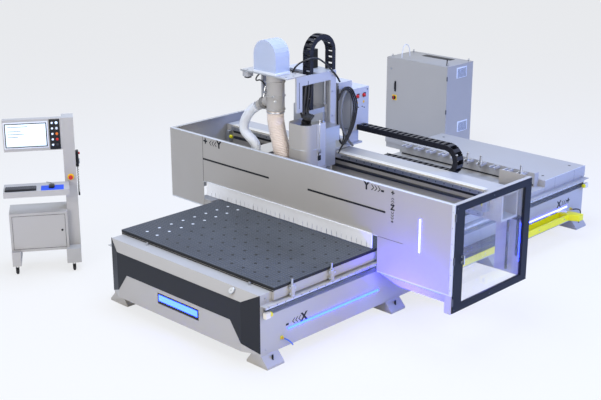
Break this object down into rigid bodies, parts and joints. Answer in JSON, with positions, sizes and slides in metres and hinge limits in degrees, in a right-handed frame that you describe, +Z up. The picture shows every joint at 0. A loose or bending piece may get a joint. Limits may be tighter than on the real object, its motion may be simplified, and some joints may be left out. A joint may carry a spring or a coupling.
{
  "type": "gantry cnc router",
  "caption": "Moving-gantry CNC router with a grooved vacuum table, enclosed head bay with side door, head with dust extraction, control desk on casters and an electrical cabinet.",
  "frame": {"origin": "middle of the whole machine's footprint, on the floor", "axes": "+X along the bed away from the operator's end, +Y to the operator's left, +Z up"},
  "size_m": [7.166, 4.7722, 2.484],
  "materials": {
    "light_paint": "satin",
    "dark_paint": "satin",
    "board": "matt, grooved",
    "steel": "ground",
    "aluminium": "painted satin",
    "black_plastic": "matt",
    "rubber": "matt",
    "white_flap": "matt",
    "clear": "clear polycarbonate",
    "hose": "ribbed, translucent",
    "yellow_paint": "satin",
    "red_plastic": "gloss",
    "casing": "satin paint"
  },
  "bodies": {
    "root": {"bed_side_left": "light_paint", "bed_side_right": "light_paint", "bed_cross_frame": "light_paint", "front_cover": "light_paint", "front_trim": "dark_paint", "rear_cover": "light_paint", "vacuum_table": "light_paint", "matrix_board": "board", "x_rail_left": "steel", "x_rail_right": "steel", "x_chain_tray": "yellow_paint", "tool_rack": "light_paint", "x_chain_fixed": "black_plastic", "console_body": "light_paint", "monitor_housing": "casing", "keyboard_tray": "casing", "cabinet_body": "light_paint"},
    "stop_front": {"stop_pin_front": "steel"},
    "stop_rear": {"stop_pin_rear": "steel"},
    "x_bend": {"x_chain_bend": "black_plastic"},
    "gantry": {"gantry_beam": "light_paint", "gantry_leg_left": "light_paint", "gantry_leg_right": "light_paint", "gantry_panel": "light_paint", "y_rail_upper": "steel", "y_rail_lower": "steel", "curtain": "white_flap", "y_chain_fixed": "black_plastic", "x_chain_lead": "black_plastic"},
    "door": {"door_frame": "dark_paint", "door_glass": "clear", "door_handle": "steel"},
    "y_bend": {"y_chain_bend": "black_plastic"},
    "carriage": {"y_carriage": "light_paint", "z_frame": "light_paint", "extraction_duct": "light_paint", "duct_hood": "clear", "junction_box": "aluminium", "y_chain_lead": "black_plastic", "z_chain_fixed": "black_plastic", "z_motor": "dark_paint"},
    "z_bend": {"z_chain_bend": "black_plastic"},
    "screw": {"z_ball_screw": "steel"},
    "head": {"z_slide": "steel", "spindle_motor": "steel", "dust_shroud": "light_paint", "z_chain_lead": "black_plastic", "extraction_hose": "hose", "branch_hose": "white_flap"},
    "tool": {"tool_chuck": "steel"},
    "bore": {"bore_unit": "aluminium"},
    "emergency_stop": {"e_stop": "red_plastic"},
    "caster_left": {"caster_fork_left": "black_plastic"},
    "caster_right": {"caster_fork_right": "black_plastic"},
    "wheel_front_left": {"caster_wheel_front_left": "rubber"},
    "wheel_front_right": {"caster_wheel_front_right": "rubber"},
    "wheel_rear_left": {"caster_wheel_rear_left": "rubber"},
    "wheel_rear_right": {"caster_wheel_rear_right": "rubber"},
    "cabinet_lid": {"cabinet_door": "light_paint"},
    "switch": {"main_switch": "black_plastic"}
  },
  "joints": [
    {"name": "gantry_travel", "type": "slide", "parent": "root", "child": "gantry", "axis": [1, 0, 0], "range_m": [-1.55, 2.4], "deforming": ["x_chain_fixed", "x_chain_lead"]},
    {"name": "x_chain_shift", "type": "slide", "parent": "root", "child": "x_bend", "axis": [1, 0, 0], "range_m": [-0.775, 1.2]},
    {"name": "stop_front_travel", "type": "slide", "parent": "root", "child": "stop_front", "axis": [0, 0, 1], "range_m": [-0.045, 0]},
    {"name": "stop_rear_travel", "type": "slide", "parent": "root", "child": "stop_rear", "axis": [0, 0, 1], "range_m": [-0.045, 0]},
    {"name": "door_swing", "type": "hinge", "parent": "gantry", "child": "door", "pos_m": [-0.55797, -2.35985, 0.336], "axis": [0, 0, 1], "range_deg": [0, 110]},
    {"name": "carriage_travel", "type": "slide", "parent": "gantry", "child": "carriage", "axis": [0, 1, 0], "range_m": [-1.15, 0.9], "deforming": ["y_chain_fixed", "y_chain_lead"]},
    {"name": "y_chain_shift", "type": "slide", "parent": "gantry", "child": "y_bend", "axis": [0, 1, 0], "range_m": [-0.575, 0.45]},
    {"name": "z_travel", "type": "slide", "parent": "carriage", "child": "head", "axis": [0, 0, 1], "range_m": [-0.2, 0.07], "deforming": ["extraction_hose", "branch_hose", "z_chain_lead", "z_chain_fixed"]},
    {"name": "z_chain_shift", "type": "slide", "parent": "carriage", "child": "z_bend", "axis": [0, 0, 1], "range_m": [-0.1, 0.035]},
    {"name": "screw_turn", "type": "hinge", "parent": "carriage", "child": "screw", "pos_m": [-1.06197, -0.01385, 1.25], "axis": [0, 0, 1], "range_deg": [-3600, 1260]},
    {"name": "tool_spin", "type": "hinge", "parent": "head", "child": "tool", "pos_m": [-1.45697, -0.31385, 1.06], "axis": [0, 0, 1], "continuous": true},
    {"name": "bore_stroke", "type": "slide", "parent": "head", "child": "bore", "axis": [0, 0, 1], "range_m": [-0.08, 0]},
    {"name": "e_stop_push", "type": "slide", "parent": "root", "child": "emergency_stop", "axis": [0.5675, 0.8233, 0], "range_m": [0, 0.006], "stiffness_N_per_m": 600},
    {"name": "caster_left_swivel", "type": "hinge", "parent": "root", "child": "caster_left", "pos_m": [-3.42283, 1.93045, 0.1], "axis": [0, 0, 1], "continuous": true},
    {"name": "caster_right_swivel", "type": "hinge", "parent": "root", "child": "caster_right", "pos_m": [-2.94611, 1.60185, 0.1], "axis": [0, 0, 1], "continuous": true},
    {"name": "wheel_front_left_roll", "type": "hinge", "parent": "caster_left", "child": "wheel_front_left", "pos_m": [-3.41148, 1.94692, 0.035], "axis": [0.8233, -0.5675, 0], "continuous": true},
    {"name": "wheel_front_right_roll", "type": "hinge", "parent": "caster_right", "child": "wheel_front_right", "pos_m": [-2.93476, 1.61831, 0.035], "axis": [0.8233, -0.5675, 0], "continuous": true},
    {"name": "wheel_rear_left_roll", "type": "hinge", "parent": "root", "child": "wheel_rear_left", "pos_m": [-3.19581, 2.25979, 0.035], "axis": [0.8233, -0.5675, 0], "continuous": true},
    {"name": "wheel_rear_right_roll", "type": "hinge", "parent": "root", "child": "wheel_rear_right", "pos_m": [-2.71909, 1.93118, 0.035], "axis": [0.8233, -0.5675, 0], "continuous": true},
    {"name": "cabinet_door_swing", "type": "hinge", "parent": "root", "child": "cabinet_lid", "pos_m": [2.99873, 1.32215, 0.08], "axis": [0, 0, 1], "range_deg": [0, 95]},
    {"name": "main_switch_turn", "type": "hinge", "parent": "cabinet_lid", "child": "switch", "pos_m": [3.00273, 2.23615, 0.751], "axis": [-1, 0, 0], "range_deg": [0, 90]}
  ],
  "couplings": [
    {"joint": "x_chain_shift", "follows": "gantry_travel", "ratio": 0.5},
    {"joint": "y_chain_shift", "follows": "carriage_travel", "ratio": 0.5},
    {"joint": "z_chain_shift", "follows": "z_travel", "ratio": 0.5},
    {"joint": "screw_turn", "follows": "z_travel", "rad_per_m": 314.16}
  ]
}
